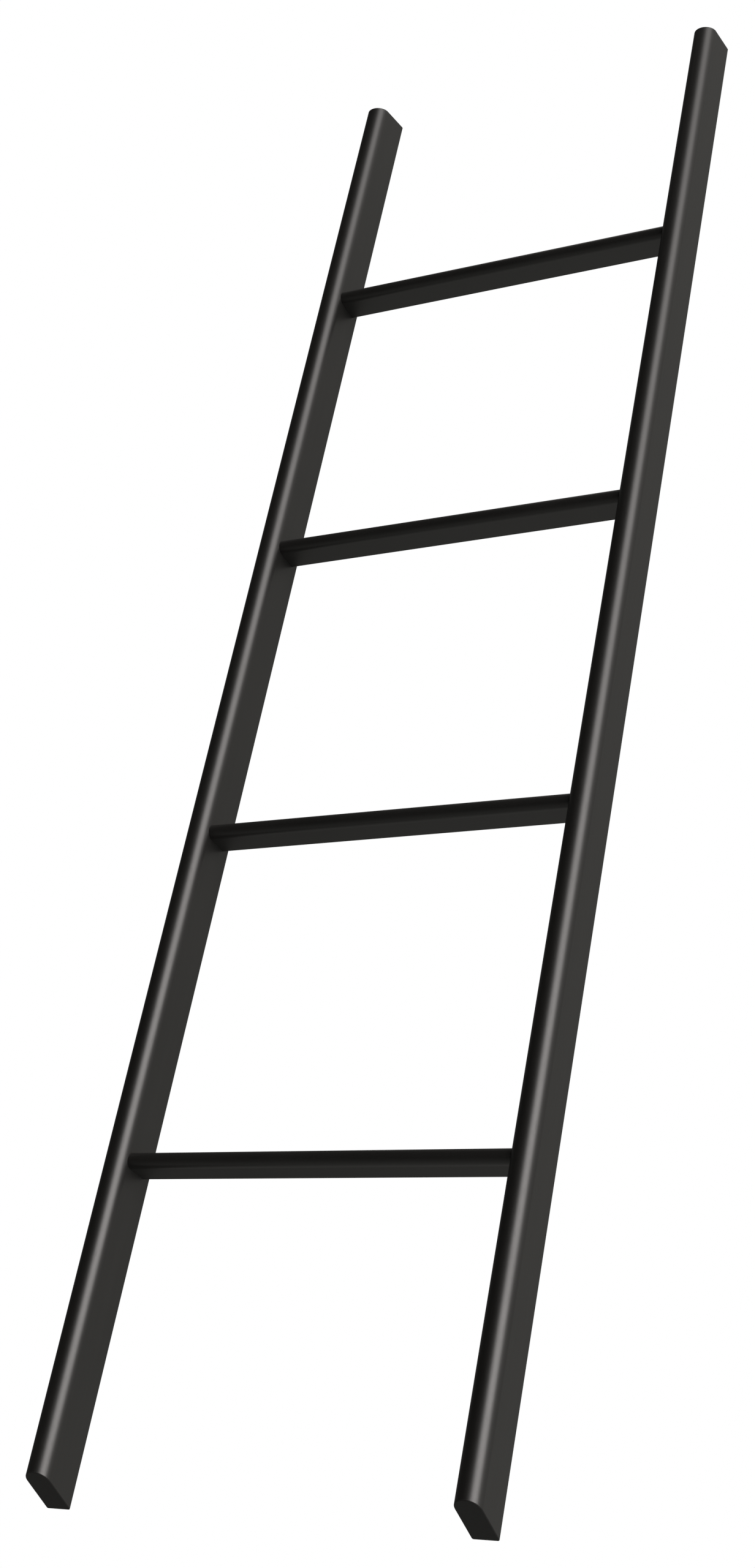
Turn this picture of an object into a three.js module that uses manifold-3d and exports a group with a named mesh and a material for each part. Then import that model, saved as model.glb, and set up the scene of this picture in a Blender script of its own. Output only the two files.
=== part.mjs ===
// Loft bed ladder: two round-nosed rails, four round-nosed rungs and the wooden dowels hidden in their joints.
// Millimetres. X runs across the ladder, -Y is the climber's side, +Z runs up the rails.
// The origin is at the bottom centre: mid width, mid rail depth, at the lowest edge of the feet.

import * as THREE from "three";
import { mergeVertices } from "three/addons/utils/BufferGeometryUtils.js";
import Module from "manifold-3d";

const wasm = await Module();
wasm.setup();

// Rails
const WIDTH = 396;            // over the outer faces of the rails
const RAIL_LENGTH = 1500;     // along the back edge, which is the longest
const RAIL_WIDTH = 22.3;
const RAIL_DEPTH = 45.1;
const RAIL_BACK_ROUND = 1.5;
const FOOT_CUT = 19;          // degrees off square, the front edge higher
const HEAD_CUT = 14.5;        // degrees off square, the front edge lower

// Rungs
const RUNG_COUNT = 4;
const RUNG_THICKNESS = 14.2;
const RUNG_DEPTH = 28.6;
const RUNG_BACK_ROUND = 1;
const FOOT_TO_RUNG = 280.6;   // from the foot to the middle of the lowest rung
const RUNG_TO_HEAD = 272.3;   // from the middle of the highest rung to the head

// Dowels
const DOWEL_DIAMETER = 6;
const DOWEL_IN_RUNG = 18;
const RAIL_WALL = 9.8;        // wood left between a dowel hole and the rail's outer face
const DOWEL_CHAMFER = 0.8;
const FLUTE_COUNT = 12;
const FLUTE_DEPTH = 0.25;

// Clearances
const GLUE_LINE = 0.1;        // between a rung's end and its rail
const DOWEL_CLEARANCE = 0.15; // around a dowel in its hole
const HOLE_ROOM = 0.5;        // past each end of a dowel
const DRILL_OVERRUN = 1;      // how far a drill starts outside the face that it enters

// Facets
const NOSE_STEPS = 24;
const CORNER_STEPS = 4;
const HOLE_SIDES = 24;

// Derived places
const dowelToEdge = RUNG_THICKNESS / 2;
const dowelPlaces = {
  front: -RUNG_DEPTH / 2 + dowelToEdge,
  back: RUNG_DEPTH / 2 - dowelToEdge,
};
const innerFace = WIDTH / 2 - RAIL_WIDTH;
const rungEnd = innerFace - GLUE_LINE;
const rungSpacing = (RAIL_LENGTH - FOOT_TO_RUNG - RUNG_TO_HEAD) / (RUNG_COUNT - 1);
const railHoleEnd = WIDTH / 2 - RAIL_WALL;
const rungHoleEnd = rungEnd - DOWEL_IN_RUNG - HOLE_ROOM;
const dowelInner = rungEnd - DOWEL_IN_RUNG;
const dowelOuter = railHoleEnd - HOLE_ROOM;

const lacquer = { color: 0x1b1b1a, roughness: 0.38, metalness: 0 };
const beech = { color: 0xc8a473, roughness: 0.75, metalness: 0 };

function addArc(points, across, depth, radius, fromDegrees, turnDegrees, steps) {
  for (let i = 0; i <= steps; i += 1) {
    const angle = THREE.MathUtils.degToRad(fromDegrees + (turnDegrees * i) / steps);
    points.push(new THREE.Vector2(across + radius * Math.cos(angle), depth + radius * Math.sin(angle)));
  }
}

// A plank's cross-section: a full round nose in front and two slightly rounded corners behind.
function noseSection(width, depth, backRound) {
  const nose = width / 2;
  const corner = nose - backRound;
  const points = [];
  addArc(points, 0, -depth / 2 + nose, nose, 180, 180, NOSE_STEPS);
  addArc(points, corner, depth / 2 - backRound, backRound, 0, 90, CORNER_STEPS);
  addArc(points, -corner, depth / 2 - backRound, backRound, 90, 90, CORNER_STEPS);
  return new THREE.Shape(points);
}

// The section runs from z = 0 to the rail's length, then both ends slope back from the long back edge.
function railGeometry() {
  const geometry = new THREE.ExtrudeGeometry(noseSection(RAIL_WIDTH, RAIL_DEPTH, RAIL_BACK_ROUND), {
    depth: RAIL_LENGTH,
    bevelEnabled: false,
  });
  const footSlope = Math.tan(THREE.MathUtils.degToRad(FOOT_CUT));
  const headSlope = Math.tan(THREE.MathUtils.degToRad(HEAD_CUT));
  const position = geometry.getAttribute("position");
  for (let i = 0; i < position.count; i += 1) {
    const fromBack = RAIL_DEPTH / 2 - position.getY(i);
    const atFoot = position.getZ(i) < RAIL_LENGTH / 2;
    position.setZ(i, atFoot ? fromBack * footSlope : RAIL_LENGTH - fromBack * headSlope);
  }
  return geometry;
}

function rungGeometry() {
  const geometry = new THREE.ExtrudeGeometry(noseSection(RUNG_THICKNESS, RUNG_DEPTH, RUNG_BACK_ROUND), {
    depth: 2 * rungEnd,
    bevelEnabled: false,
  });
  geometry.translate(0, 0, -rungEnd);
  return geometry.rotateY(Math.PI / 2);
}

// A fluted pin along X with a chamfer at each end, from the inner to the outer end.
function dowelGeometry() {
  const radius = DOWEL_DIAMETER / 2;
  const points = [];
  for (let i = 0; i < 2 * FLUTE_COUNT; i += 1) {
    const angle = (Math.PI * i) / FLUTE_COUNT;
    const reach = i % 2 === 0 ? radius : radius - FLUTE_DEPTH;
    points.push(new THREE.Vector2(reach * Math.cos(angle), reach * Math.sin(angle)));
  }
  const length = dowelOuter - dowelInner;
  const stations = [0, DOWEL_CHAMFER, length - DOWEL_CHAMFER, length];
  const tip = (radius - DOWEL_CHAMFER) / radius;
  const widths = [tip, 1, 1, tip];
  const last = stations.length - 1;
  const geometry = new THREE.ExtrudeGeometry(new THREE.Shape(points), {
    depth: last,
    steps: last,
    bevelEnabled: false,
  });
  const position = geometry.getAttribute("position");
  for (let i = 0; i < position.count; i += 1) {
    const station = Math.round(position.getZ(i));
    const width = widths[station];
    position.setXYZ(i, position.getX(i) * width, position.getY(i) * width, stations[station]);
  }
  return geometry.rotateY(Math.PI / 2);
}

// A round drill along X between two places, wide enough for a dowel and its clearance.
function drillGeometry(fromX, toX, y, z) {
  const flatRadius = DOWEL_DIAMETER / 2 + DOWEL_CLEARANCE;
  const radius = flatRadius / Math.cos(Math.PI / HOLE_SIDES);
  const geometry = new THREE.CylinderGeometry(radius, radius, toX - fromX, HOLE_SIDES);
  geometry.rotateZ(Math.PI / 2);
  return geometry.translate((fromX + toX) / 2, y, z);
}

function toSolid(geometry) {
  const bare = geometry.clone();
  bare.deleteAttribute("normal");
  bare.deleteAttribute("uv");
  const merged = mergeVertices(bare);
  return new wasm.Manifold(new wasm.Mesh({
    numProp: 3,
    vertProperties: new Float32Array(merged.getAttribute("position").array),
    triVerts: new Uint32Array(merged.getIndex().array),
  }));
}

function cutAll(geometry, cutters) {
  let solid = toSolid(geometry);
  for (const cutter of cutters) {
    solid = solid.subtract(toSolid(cutter));
  }
  const mesh = solid.getMesh();
  const result = new THREE.BufferGeometry();
  result.setAttribute("position", new THREE.BufferAttribute(mesh.vertProperties, 3));
  result.setIndex(new THREE.BufferAttribute(mesh.triVerts, 1));
  result.computeVertexNormals();
  return result;
}

function addPiece(parent, name, geometry, finish) {
  const piece = new THREE.Mesh(geometry, new THREE.MeshStandardMaterial(finish));
  piece.name = name;
  parent.add(piece);
  return piece;
}

const rungHeights = [];
for (let i = 0; i < RUNG_COUNT; i += 1) {
  rungHeights.push(FOOT_TO_RUNG + i * rungSpacing);
}

const group = new THREE.Group();

// Each rail is drilled from its inner face, two holes for each rung.
const sides = { left: -1, right: 1 };
for (const [sideName, side] of Object.entries(sides)) {
  const centre = side * (WIDTH - RAIL_WIDTH) / 2;
  const ends = [side * (innerFace - DRILL_OVERRUN) - centre, side * railHoleEnd - centre];
  const drills = [];
  for (const height of rungHeights) {
    for (const y of Object.values(dowelPlaces)) {
      drills.push(drillGeometry(Math.min(...ends), Math.max(...ends), y, height));
    }
  }
  const rail = addPiece(group, `${sideName}_rail`, cutAll(railGeometry(), drills), lacquer);
  rail.position.x = centre;
}

// Each rung is drilled from both ends, and is carried with its dowels as one group at its height.
rungHeights.forEach((height, index) => {
  const level = new THREE.Group();
  level.position.z = height;
  group.add(level);
  const drills = [];
  for (const y of Object.values(dowelPlaces)) {
    drills.push(drillGeometry(rungHoleEnd, rungEnd + DRILL_OVERRUN, y, 0));
    drills.push(drillGeometry(-rungEnd - DRILL_OVERRUN, -rungHoleEnd, y, 0));
  }
  addPiece(level, `rung_${index + 1}`, cutAll(rungGeometry(), drills), lacquer);
  for (const [sideName, side] of Object.entries(sides)) {
    for (const [placeName, y] of Object.entries(dowelPlaces)) {
      const dowel = addPiece(level, `dowel_${index + 1}_${sideName}_${placeName}`, dowelGeometry(), beech);
      dowel.position.set(side * dowelInner, y, 0);
      dowel.rotation.y = side > 0 ? 0 : Math.PI;
    }
  }
});

export default group;
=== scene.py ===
"""A loft bed ladder in satin black lacquer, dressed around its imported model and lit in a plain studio."""
import math

import bmesh
import bpy
from mathutils import Matrix, Vector


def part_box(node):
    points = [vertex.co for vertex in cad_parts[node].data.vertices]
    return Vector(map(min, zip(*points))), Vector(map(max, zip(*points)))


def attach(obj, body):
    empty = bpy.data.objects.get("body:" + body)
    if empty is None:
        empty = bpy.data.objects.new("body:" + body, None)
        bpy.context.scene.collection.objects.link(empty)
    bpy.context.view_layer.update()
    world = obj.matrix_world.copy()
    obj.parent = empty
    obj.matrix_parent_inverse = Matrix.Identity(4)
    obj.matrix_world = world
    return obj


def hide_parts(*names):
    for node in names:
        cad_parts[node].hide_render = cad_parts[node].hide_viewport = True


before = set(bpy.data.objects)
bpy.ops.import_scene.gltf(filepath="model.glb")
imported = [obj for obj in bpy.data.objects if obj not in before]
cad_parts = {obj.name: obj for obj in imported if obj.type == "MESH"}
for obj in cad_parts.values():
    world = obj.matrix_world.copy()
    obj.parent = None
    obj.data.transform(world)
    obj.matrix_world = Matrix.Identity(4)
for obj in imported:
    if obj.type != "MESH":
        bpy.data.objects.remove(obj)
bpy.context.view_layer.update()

# Sizes of the wood, in metres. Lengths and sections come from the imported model.
FOOT_CUT = math.radians(19)
HEAD_CUT = math.radians(14.5)
RAIL_BACK_ROUND = 0.0015
RUNG_BACK_ROUND = 0.001
ARRIS = 0.0008                # the sanded edge round each rail end
RUNG_HOUSING = 0.0006         # how far a rung's end sinks into its rail
SPARE = 0.02                  # what a rail is left longer at each end before it is cut

# How finely the wood is meshed.
NOSE_SEGMENTS = 28            # facets in each quarter of a round nose
CORNER_SEGMENTS = 5
ARRIS_SEGMENTS = 5
SHARP_ANGLE = math.radians(40)
WELD = 0.000002

# Satin black lacquer over fine wood. A pattern's scale is its number of features in a metre.
LACQUER_IOR = 1.6
LACQUER_ROUGHNESS = 0.34
LACQUER_RELIEF = 0.16
LACQUER_RELIEF_HEIGHT = 0.0002
GRAIN = (9.0, 260.0)          # along the wood, and across it
PORES = (90.0, 1400.0)
PORE_EDGE = (0.62, 0.74)      # only the highest spots of their pattern are pores
PEEL = 420.0                  # the orange peel of a sprayed coat
CLOUD = 14.0                  # slow changes of tone and sheen
BLACK_STOPS = ((0.3, (0.0034, 0.0033, 0.0030, 1)), (0.7, (0.0056, 0.0054, 0.0049, 1)))
GRAIN_TONE = 0.6
CLOUD_TONE = 0.4
GRAIN_RISE = 0.5
PEEL_RISE = 0.4
PIT_SINK = 0.15
CLOUD_DULLS = 0.08
PEEL_DULLS = 0.04
PITS_DULL = 0.05

# End grain drinks the lacquer, and dries duller and rougher. Its lower IOR is also painted shade: it
# darkens every cut face to stand in for the contact shadow at the feet.
END_GRAIN = 1                 # the material slot of a rail's cut faces
END_SHADE_IOR = 1.40
END_ROUGHNESS = 0.6
END_RELIEF = 0.25

# Bare beech for the dowels.
FLECKS = (60.0, 900.0)        # along the wood, and across it
GROWTH_LINES = 220.0
BEECH_STOPS = ((0.3, (0.36, 0.20, 0.10, 1)), (0.65, (0.62, 0.42, 0.24, 1)))
FLECK_TONE = 0.6
LINE_TONE = 0.4
BEECH_ROUGHNESS = 0.62
FLECKS_DULL = 0.2
BEECH_RELIEF = 0.3
BEECH_RELIEF_HEIGHT = 0.0001

# The camera stands in front of the ladder, to its right and below its feet, and looks up.
CAMERA_PLACE = (0.96855, -1.54181, -0.37839)
CAMERA_RIGHT = (0.877604, 0.444601, 0.179277)     # what runs to the right in the picture
CAMERA_DOWN = (-0.083571, 0.510137, -0.856023)    # and what runs down
CAMERA_NEAREST = 0.01
FRAME_SIZE = (1232, 2560)
FOCAL_PIXELS = 3902.8         # the focal length, in pixels of that frame
SENSOR = 36.0

# Lights. A side is in degrees from straight in front towards the right. An edge is a pair: where
# a light begins, and where it is full. It is read off a direction of length 1, unless it says degrees.
KEY_SIDE = 53
KEY_LIGHT = 6.4
KEY_TINT = (1.0, 0.96, 0.94, 1)
KEY_EDGE = (31.5, 15.5)       # degrees to either side
KEY_TOP = (56, 26)            # degrees up
KEY_FOOT = (-0.25, 0.0)       # the band beside the key has the same foot
PANEL_PLACE = (0, 0.3, 3.7)
PANEL_SIZE = 2.4
PANEL_LIGHT = 0.35

# The room round the key is dim, and palest on the right and behind.
ROOM_TINT = (1.0, 0.985, 0.93, 1)
ROOM_DARK = 0.02
WALL_SIDE = 130
WALL_LIGHT = 0.30
WALL_EDGE = (-0.8, 0.6)
WALL_FOOT = (-0.1, 0.1)
WALL_DIP_RIGHT = 0.6          # how far the wall's foot drops on the right
WALL_DIP_BEHIND = 0.3         # and behind
WALL_HIGH_LOSS = 0.13
ABOVE_LIGHT = 0.03
BAND_SIDE = 105               # a paler upright band, beside the key
BAND_LIGHT = 0.18
BAND_EDGE = (0.87, 0.99)
LEFT_LIGHT = 0.27             # low on the left
LEFT_EDGE = (-0.6, -0.9)
LEFT_TOP = (0.1, -0.1)

# The light that comes up from below.
BELOW_LIGHT = 0.25
BELOW_EDGE = (-0.28, -0.72)
BELOW_FRONT_LOSS = 0.20
LOW_BEHIND_LIGHT = 0.23       # added low down behind, and a little to the right
LOW_BEHIND_EDGE = (0.97, 1.13)
LOW_BEHIND_RIGHT = 0.5        # how much the right counts in it, where behind and below count 1

# The floor is pale round the ladder and fades to plain white.
WHITE = (1, 1, 1, 1)
FLOOR_PAINT = (0.9, 0.9, 0.9, 1)
FLOOR_HALF = 8.0
FLOOR_FADE = (0.3, 1.9)       # metres from the middle: where it starts to fade, and where it is white
FLOOR_WHITE = 0.45            # the share of plain white in the middle


def round_off(bm, geom, radius, segments, affect, material=-1):
    """Bevels corners or edges to a round."""
    bmesh.ops.bevel(
        bm, geom=geom, offset=radius, offset_type="OFFSET", segments=segments,
        profile=0.5, affect=affect, material=material,
    )


def nose_bar(across, depth, length, back_round):
    """A bar along +Z from z = 0, with a full round nose towards -Y and small round corners behind."""
    bm = bmesh.new()
    bmesh.ops.create_grid(bm, x_segments=1, y_segments=1, size=0.5)
    bmesh.ops.scale(bm, vec=(across, depth, 1), verts=bm.verts)
    front = [v for v in bm.verts if v.co.y < 0]
    round_off(bm, front, across / 2, NOSE_SEGMENTS, "VERTICES")
    back = [v for v in bm.verts if v.co.y > depth / 2 - WELD]
    round_off(bm, back, back_round, CORNER_SEGMENTS, "VERTICES")
    bmesh.ops.remove_doubles(bm, verts=bm.verts, dist=WELD)
    made = bmesh.ops.extrude_face_region(bm, geom=bm.faces[:])
    raised = [v for v in made["geom"] if isinstance(v, bmesh.types.BMVert)]
    bmesh.ops.translate(bm, vec=(0, 0, length), verts=raised)
    return bm


def cut_end(bm, point, outwards):
    """Cuts the bar off square to a direction, closes the cut with end grain and rounds its rim."""
    geometry = bm.verts[:] + bm.edges[:] + bm.faces[:]
    cut = bmesh.ops.bisect_plane(
        bm, geom=geometry, plane_co=point, plane_no=outwards, clear_outer=True,
    )
    rim = [e for e in cut["geom_cut"] if isinstance(e, bmesh.types.BMEdge)]
    end_face = bmesh.ops.contextual_create(bm, geom=rim)["faces"][0]
    end_face.material_index = END_GRAIN
    round_off(bm, end_face.edges[:], ARRIS, ARRIS_SEGMENTS, "EDGES", END_GRAIN)


def dress(bm, node, materials):
    """Makes the mesh a piece that rides with the ladder and stands for its node."""
    bmesh.ops.recalc_face_normals(bm, faces=bm.faces)
    mesh = bpy.data.meshes.new(f"{node}_finish")
    bm.to_mesh(mesh)
    bm.free()
    mesh.shade_smooth()
    mesh.set_sharp_from_angle(angle=SHARP_ANGLE)
    for material in materials:
        mesh.materials.append(material)
    piece = bpy.data.objects.new(f"{node}_finish", mesh)
    bpy.context.scene.collection.objects.link(piece)
    even = piece.modifiers.new("even_shading", "WEIGHTED_NORMAL")
    even.keep_sharp = True
    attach(piece, "root")
    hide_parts(node)


def make_rail(node, materials):
    """A side rail, cut on a slope at its foot and its head so that its back edge is the longest."""
    low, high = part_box(node)
    across, depth, length = high - low
    back = depth / 2
    bm = nose_bar(across, depth, length + 2 * SPARE, RAIL_BACK_ROUND)
    bmesh.ops.translate(bm, vec=(0, 0, -SPARE), verts=bm.verts)
    cut_end(bm, (0, back, 0), (0, -math.sin(FOOT_CUT), -math.cos(FOOT_CUT)))
    cut_end(bm, (0, back, length), (0, -math.sin(HEAD_CUT), math.cos(HEAD_CUT)))
    middle = (low + high) / 2
    bmesh.ops.translate(bm, vec=(middle.x, middle.y, low.z), verts=bm.verts)
    dress(bm, node, materials)


def make_rung(node, materials):
    """A rung, laid across with its nose to the front and housed a little way into both rails."""
    low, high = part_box(node)
    length, depth, thickness = high - low
    full = length + 2 * RUNG_HOUSING
    turn = Matrix.Rotation(math.pi / 2, 3, "Y")
    bm = nose_bar(thickness, depth, full, RUNG_BACK_ROUND)
    bmesh.ops.translate(bm, vec=(0, 0, -full / 2), verts=bm.verts)
    bmesh.ops.rotate(bm, cent=(0, 0, 0), matrix=turn, verts=bm.verts)
    bmesh.ops.translate(bm, vec=(low + high) / 2, verts=bm.verts)
    dress(bm, node, materials)


class Shade:
    """A shader socket. Arithmetic adds Math nodes, and node() adds any other node."""

    def __init__(self, tree, socket=None):
        self.tree = tree
        self.socket = socket

    def node(self, kind, settings=None, out=0, **values):
        """Adds a node: settings first, then values or links by socket name, then one of its outputs."""
        made = self.tree.nodes.new(kind)
        for name, setting in (settings or {}).items():
            if name == "stops":
                for element, (place, colour) in zip(made.color_ramp.elements, setting):
                    element.position = place
                    element.color = colour
            else:
                setattr(made, name, setting)
        for name, value in values.items():
            key = int(name[3:]) if name.startswith("in_") else name.replace("_", " ")
            if isinstance(value, Shade):
                self.tree.links.new(value.socket, made.inputs[key])
            else:
                made.inputs[key].default_value = value
        return Shade(self.tree, made.outputs[out] if made.outputs else None)

    def maths(self, operation, first, second):
        return self.node("ShaderNodeMath", {"operation": operation}, in_0=first, in_1=second)

    def __add__(self, other):
        return self.maths("ADD", self, other)

    def __radd__(self, other):
        return self.maths("ADD", other, self)

    def __sub__(self, other):
        return self.maths("SUBTRACT", self, other)

    def __rsub__(self, other):
        return self.maths("SUBTRACT", other, self)

    def __mul__(self, other):
        return self.maths("MULTIPLY", self, other)

    def __rmul__(self, other):
        return self.maths("MULTIPLY", other, self)


def start_nodes(owner):
    """Empties the nodes of a material or a world, and gives back a Shade to add new ones with."""
    owner.use_nodes = True
    owner.node_tree.nodes.clear()
    return Shade(owner.node_tree)


def ramp(sh, value, edge, kind="LINEAR", low=0.0):
    """Goes from low to 1 as the value goes from the edge's first number to its second."""
    begins, full = edge
    return sh.node(
        "ShaderNodeMapRange", {"interpolation_type": kind},
        Value=value, From_Min=begins, From_Max=full, To_Min=low,
    )


def drawn_out(sh, place, axis, scales):
    """Places for a pattern that is drawn out along the wood. The scales are along it, and across it."""
    along, across = scales
    scale = [along if letter == axis else across for letter in "XYZ"]
    return sh.node("ShaderNodeMapping", Vector=place, Scale=scale)


def black_lacquer(name, axis, ior=LACQUER_IOR, roughness=LACQUER_ROUGHNESS, relief=LACQUER_RELIEF):
    """Satin black lacquer over fine wood, whose grain runs along one axis and shows faintly through."""
    material = bpy.data.materials.new(name)
    sh = start_nodes(material)
    place = sh.node("ShaderNodeTexCoord", out="Object")
    grain_place = drawn_out(sh, place, axis, GRAIN)
    pore_place = drawn_out(sh, place, axis, PORES)
    grain = sh.node("ShaderNodeTexNoise", Vector=grain_place, Scale=1.0, Detail=4.0, Roughness=0.6)
    pores = sh.node("ShaderNodeTexNoise", Vector=pore_place, Scale=1.0, Detail=1.0)
    pits = ramp(sh, pores, PORE_EDGE, "SMOOTHSTEP")
    peel = sh.node("ShaderNodeTexNoise", Vector=place, Scale=PEEL, Detail=1.0)
    cloud = sh.node("ShaderNodeTexNoise", Vector=place, Scale=CLOUD, Detail=3.0)
    height = grain * GRAIN_RISE + peel * PEEL_RISE - pits * PIT_SINK
    bump = sh.node("ShaderNodeBump", Height=height, Strength=relief, Distance=LACQUER_RELIEF_HEIGHT)
    paleness = grain * GRAIN_TONE + cloud * CLOUD_TONE
    tone = sh.node("ShaderNodeValToRGB", {"stops": BLACK_STOPS}, Fac=paleness)
    dullness = roughness + CLOUD_DULLS * cloud + PEEL_DULLS * peel + PITS_DULL * pits
    surface = sh.node(
        "ShaderNodeBsdfPrincipled", Base_Color=tone, IOR=ior, Normal=bump, Roughness=dullness,
    )
    sh.node("ShaderNodeOutputMaterial", Surface=surface)
    return material


def bare_beech(name):
    """Pale brown wood along X, with darker growth lines and short dark flecks."""
    material = bpy.data.materials.new(name)
    sh = start_nodes(material)
    place = sh.node("ShaderNodeTexCoord", out="Object")
    fleck_place = drawn_out(sh, place, "X", FLECKS)
    flecks = sh.node("ShaderNodeTexNoise", Vector=fleck_place, Scale=1.0, Detail=3.0)
    lines = sh.node("ShaderNodeTexNoise", Vector=place, Scale=GROWTH_LINES, Detail=2.0)
    paleness = flecks * FLECK_TONE + lines * LINE_TONE
    tone = sh.node("ShaderNodeValToRGB", {"stops": BEECH_STOPS}, Fac=paleness)
    bump = sh.node("ShaderNodeBump", Height=flecks, Strength=BEECH_RELIEF, Distance=BEECH_RELIEF_HEIGHT)
    dullness = BEECH_ROUGHNESS + FLECKS_DULL * flecks
    surface = sh.node("ShaderNodeBsdfPrincipled", Base_Color=tone, Roughness=dullness, Normal=bump)
    sh.node("ShaderNodeOutputMaterial", Surface=surface)
    return material


def make_camera():
    """The photograph's view. The lean in it is the camera's, because the ladder stands upright here."""
    right = Vector(CAMERA_RIGHT).normalized()
    up = -Vector(CAMERA_DOWN)
    up = (up - right * up.dot(right)).normalized()
    turn = Matrix((right, up, right.cross(up))).transposed()
    camera = bpy.data.objects.new("camera", bpy.data.cameras.new("camera"))
    camera.matrix_world = Matrix.Translation(CAMERA_PLACE) @ turn.to_4x4()
    camera.data.sensor_width = SENSOR
    camera.data.lens = FOCAL_PIXELS / max(FRAME_SIZE) * SENSOR
    camera.data.clip_start = CAMERA_NEAREST
    bpy.context.scene.collection.objects.link(camera)
    bpy.context.scene.camera = camera


def light_top():
    """A soft panel overhead that shines straight down, unseen by the camera itself."""
    data = bpy.data.lights.new("top_panel", "AREA")
    data.size = PANEL_SIZE
    data.color = KEY_TINT[:3]
    data.energy = PANEL_LIGHT * PANEL_SIZE * PANEL_SIZE * math.pi
    lamp = bpy.data.objects.new("top_panel", data)
    lamp.location = PANEL_PLACE
    lamp.visible_camera = False
    bpy.context.scene.collection.objects.link(lamp)


def facing(sh, level, side):
    """How squarely a level direction points to a side: 1 straight at it, and -1 away from it."""
    turn = math.radians(side)
    towards = (math.sin(turn), -math.cos(turn), 0)
    return sh.node(
        "ShaderNodeVectorMath", {"operation": "DOT_PRODUCT"}, in_0=level, in_1=towards, out="Value",
    )


def key_strength(sh, height, level):
    """A wide soft light on the right, whose sides, top and foot fade out."""
    side_edge = [math.cos(math.radians(angle)) for angle in KEY_EDGE]
    top_edge = [math.sin(math.radians(angle)) for angle in KEY_TOP]
    sides = ramp(sh, facing(sh, level, KEY_SIDE), side_edge)
    top = ramp(sh, height, top_edge)
    return KEY_LIGHT * sides * top * ramp(sh, height, KEY_FOOT)


def room_strength(sh, across, behind, height, level):
    """The dim room: a pale wall, a band beside the key, and some light from below and from the left."""
    dip = ramp(sh, WALL_DIP_RIGHT * across + WALL_DIP_BEHIND * behind, (0, 1))
    wall = ramp(sh, facing(sh, level, WALL_SIDE), WALL_EDGE) * ramp(sh, height + dip, WALL_FOOT)
    above = ramp(sh, height, (0, 1))
    strength = ROOM_DARK + wall * (WALL_LIGHT - WALL_HIGH_LOSS * above) + ABOVE_LIGHT * above
    below = ramp(sh, height, BELOW_EDGE)
    in_front = ramp(sh, behind, (0, -1))
    strength = strength + below * (BELOW_LIGHT - BELOW_FRONT_LOSS * in_front)
    low_behind = ramp(sh, LOW_BEHIND_RIGHT * across + behind - height, LOW_BEHIND_EDGE)
    strength = strength + LOW_BEHIND_LIGHT * low_behind
    strength = strength + LEFT_LIGHT * ramp(sh, across, LEFT_EDGE) * ramp(sh, height, LEFT_TOP)
    band = ramp(sh, facing(sh, level, BAND_SIDE), BAND_EDGE)
    return strength + BAND_LIGHT * band * ramp(sh, height, KEY_FOOT)


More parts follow.
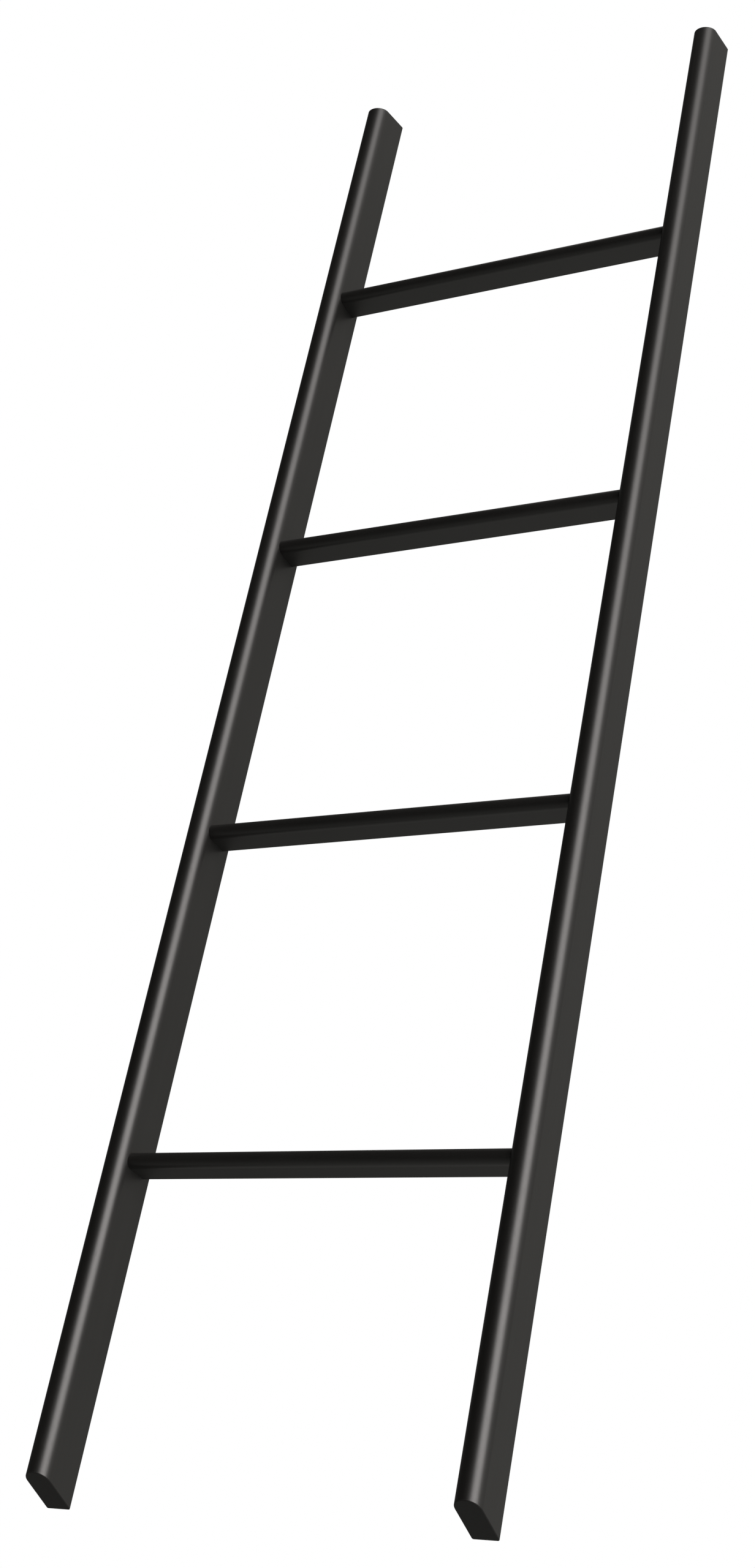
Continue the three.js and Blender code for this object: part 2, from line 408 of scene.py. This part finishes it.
def light_room():
    """White to the camera, and the key in its dim room to the ladder."""
    world = bpy.data.worlds.new("room")
    bpy.context.scene.world = world
    sh = start_nodes(world)
    way = sh.node("ShaderNodeTexCoord", out="Generated")
    across, behind, height = (sh.node("ShaderNodeSeparateXYZ", Vector=way, out=axis) for axis in "XYZ")
    level = sh.node("ShaderNodeVectorMath", {"operation": "MULTIPLY"}, in_0=way, in_1=(1, 1, 0))
    level = sh.node("ShaderNodeVectorMath", {"operation": "NORMALIZE"}, in_0=level)
    key = sh.node("ShaderNodeBackground", Color=KEY_TINT, Strength=key_strength(sh, height, level))
    strength = room_strength(sh, across, behind, height, level)
    room = sh.node("ShaderNodeBackground", Color=ROOM_TINT, Strength=strength)
    lights = sh.node("ShaderNodeAddShader", in_0=key, in_1=room)
    backdrop = sh.node("ShaderNodeBackground", Color=WHITE, Strength=1.0)
    seen = sh.node("ShaderNodeLightPath", out="Is Camera Ray")
    shown = sh.node("ShaderNodeMixShader", in_0=seen, in_1=lights, in_2=backdrop)
    sh.node("ShaderNodeOutputWorld", Surface=shown)


def lay_floor():
    """Pale round the ladder and white further out. Clear to a camera that looks up through it."""
    bm = bmesh.new()
    bmesh.ops.create_grid(bm, x_segments=1, y_segments=1, size=FLOOR_HALF)
    mesh = bpy.data.meshes.new("floor")
    bm.to_mesh(mesh)
    bm.free()
    material = bpy.data.materials.new("floor_paint")
    sh = start_nodes(material)
    place = sh.node("ShaderNodeTexCoord", out="Object")
    reach = sh.node("ShaderNodeVectorMath", {"operation": "LENGTH"}, in_0=place, out="Value")
    fade = ramp(sh, reach, FLOOR_FADE, "SMOOTHSTEP", FLOOR_WHITE)
    matt = sh.node("ShaderNodeBsdfDiffuse", Color=FLOOR_PAINT)
    white = sh.node("ShaderNodeEmission", Color=WHITE, Strength=1.0)
    paint = sh.node("ShaderNodeMixShader", in_0=fade, in_1=matt, in_2=white)
    clear = sh.node("ShaderNodeBsdfTransparent")
    beneath = sh.node("ShaderNodeNewGeometry", out="Backfacing")
    shown = sh.node("ShaderNodeMixShader", in_0=beneath, in_1=paint, in_2=clear)
    sh.node("ShaderNodeOutputMaterial", Surface=shown)
    mesh.materials.append(material)
    floor = bpy.data.objects.new("floor", mesh)
    floor.visible_diffuse = False
    floor.visible_glossy = False
    floor.visible_shadow = False
    bpy.context.scene.collection.objects.link(floor)


rail_lacquer = black_lacquer("rail_lacquer", "Z")
rung_lacquer = black_lacquer("rung_lacquer", "X")
# The cut faces' lacquer reflects less than the rest, as painted shade for the contact shadow at the feet.
end_lacquer_with_painted_shade = black_lacquer("end_lacquer_with_painted_shade", "Z", END_SHADE_IOR, END_ROUGHNESS, END_RELIEF)
dowel_beech = bare_beech("dowel_beech")

for node in sorted(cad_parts):
    if node.endswith("_rail"):
        make_rail(node, (rail_lacquer, end_lacquer_with_painted_shade))
    elif node.startswith("rung_"):
        make_rung(node, (rung_lacquer,))
    else:
        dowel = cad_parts[node].data
        dowel.materials.clear()
        dowel.materials.append(dowel_beech)

make_camera()
light_top()
light_room()
lay_floor()

bpy.context.scene.view_settings.view_transform = "Standard"
